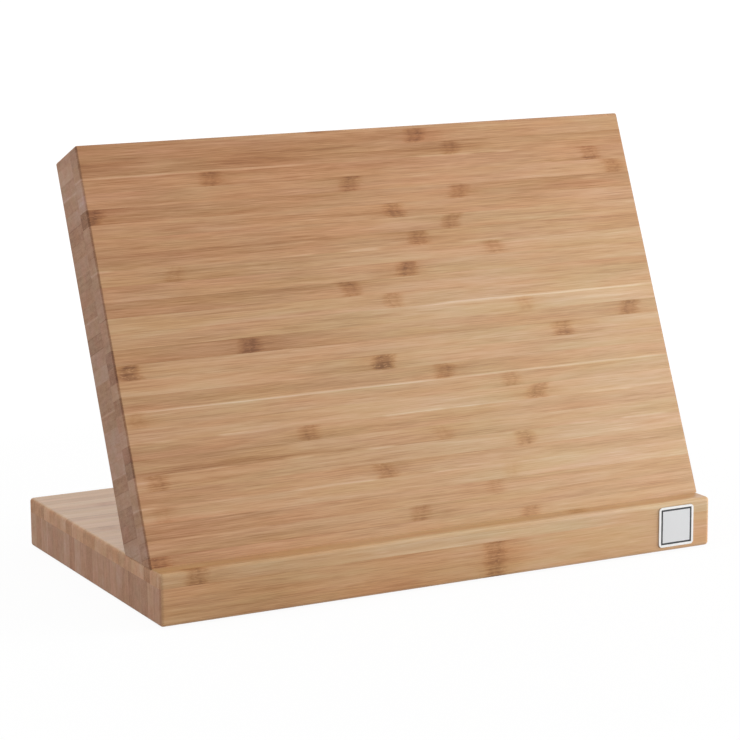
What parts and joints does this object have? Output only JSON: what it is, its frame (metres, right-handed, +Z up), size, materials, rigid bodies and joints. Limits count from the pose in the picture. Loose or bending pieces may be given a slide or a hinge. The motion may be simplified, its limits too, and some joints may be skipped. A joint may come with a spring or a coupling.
{
  "type": "magnetic knife block",
  "caption": "Free-standing magnetic knife block: a thick laminated bamboo board leans back on a flat bamboo base, with magnets hidden behind its face.",
  "frame": {"origin": "centre of the footprint, on the surface that the feet stand on", "axes": "+X along the width, to the right seen from the front; -Y towards the user, where the face looks; +Z up"},
  "size_m": [0.36, 0.2006, 0.2534],
  "materials": {
    "bamboo_light": "satin",
    "bamboo_medium": "satin",
    "bamboo_dark": "satin",
    "beech_dowel": "matte",
    "magnet_nickel": "satin",
    "screw_steel": "satin",
    "foot_rubber": "matte",
    "badge_metal": "satin",
    "tape": "matte"
  },
  "bodies": {
    "root": {"face_strips_light": "bamboo_light", "face_strips_medium": "bamboo_medium", "face_strips_dark": "bamboo_dark", "rear_strips_light": "bamboo_light", "rear_strips_medium": "bamboo_medium", "rear_strips_dark": "bamboo_dark", "base_top_strips_light": "bamboo_light", "base_top_strips_medium": "bamboo_medium", "base_top_strips_dark": "bamboo_dark", "base_low_strips_light": "bamboo_light", "base_low_strips_medium": "bamboo_medium", "base_low_strips_dark": "bamboo_dark", "upper_magnets": "magnet_nickel", "lower_magnets": "magnet_nickel", "board_dowels": "beech_dowel", "board_screws": "screw_steel", "foot_front_left": "foot_rubber", "foot_front_right": "foot_rubber", "foot_back_left": "foot_rubber", "foot_back_right": "foot_rubber", "badge_plate": "badge_metal", "badge_tape": "tape"}
  },
  "joints": []
}
